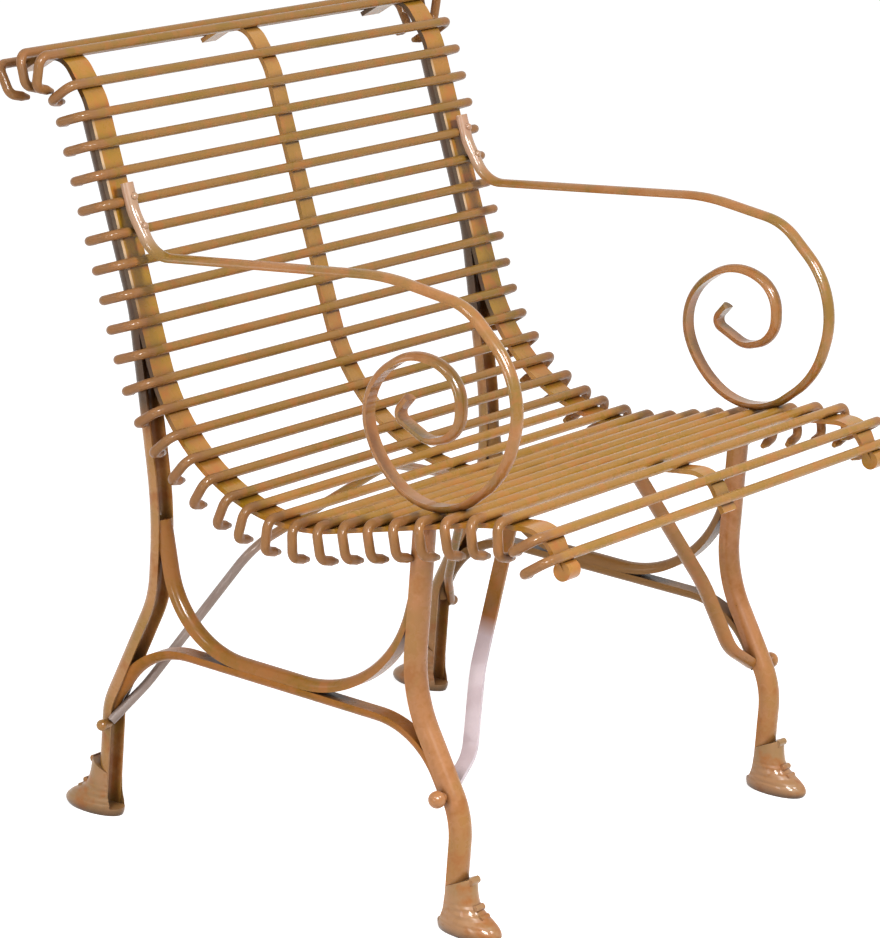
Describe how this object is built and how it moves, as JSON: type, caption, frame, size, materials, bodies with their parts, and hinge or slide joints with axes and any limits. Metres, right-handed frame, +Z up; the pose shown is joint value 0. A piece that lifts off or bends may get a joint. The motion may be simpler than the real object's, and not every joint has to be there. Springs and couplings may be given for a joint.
{
  "type": "garden armchair",
  "caption": "Wrought-iron style garden armchair with a rolled rod seat and back, scroll arms, bowed legs, side cradles and hoof feet.",
  "frame": {"origin": "centre of the chair's bounding box, at floor level", "axes": "+Z up, the chair faces -Y, +X across the chair"},
  "size_m": [0.684, 0.7047, 0.7888],
  "materials": {
    "bar_paint": "satin paint, slightly worn",
    "casting_paint": "satin paint, slightly worn",
    "rod_paint": "satin paint, slightly worn"
  },
  "bodies": {
    "root": {"back_rod_01": "rod_paint", "back_rod_02": "rod_paint", "back_rod_03": "rod_paint", "back_rod_04": "rod_paint", "back_rod_05": "rod_paint", "back_rod_06": "rod_paint", "back_rod_07": "rod_paint", "back_rod_08": "rod_paint", "back_rod_09": "rod_paint", "back_rod_10": "rod_paint", "back_rod_11": "rod_paint", "back_rod_12": "rod_paint", "back_rod_13": "rod_paint", "back_rod_14": "rod_paint", "back_rod_15": "rod_paint", "back_rod_16": "rod_paint", "back_rod_17": "rod_paint", "center_strap": "bar_paint", "crest_rod": "rod_paint", "front_brace": "bar_paint", "front_foot_left": "casting_paint", "front_foot_right": "casting_paint", "front_leg_left": "bar_paint", "front_leg_right": "bar_paint", "lip_rod": "rod_paint", "nose_rod": "rod_paint", "rear_foot_left": "casting_paint", "rear_foot_right": "casting_paint", "rear_leg_left": "bar_paint", "rear_leg_right": "bar_paint", "rear_tie": "bar_paint", "scroll_arm_left": "bar_paint", "scroll_arm_right": "bar_paint", "seat_rod_01": "rod_paint", "seat_rod_02": "rod_paint", "seat_rod_03": "rod_paint", "seat_rod_04": "rod_paint", "seat_rod_05": "rod_paint", "seat_rod_06": "rod_paint", "seat_rod_07": "rod_paint", "seat_rod_08": "rod_paint", "seat_rod_09": "rod_paint", "seat_rod_10": "rod_paint", "seat_rod_11": "rod_paint", "shoulder_rod": "rod_paint", "side_cradle_left": "bar_paint", "side_cradle_right": "bar_paint", "side_strap_left": "bar_paint", "side_strap_right": "bar_paint", "side_stretcher_left": "bar_paint", "side_stretcher_right": "bar_paint"}
  },
  "joints": []
}
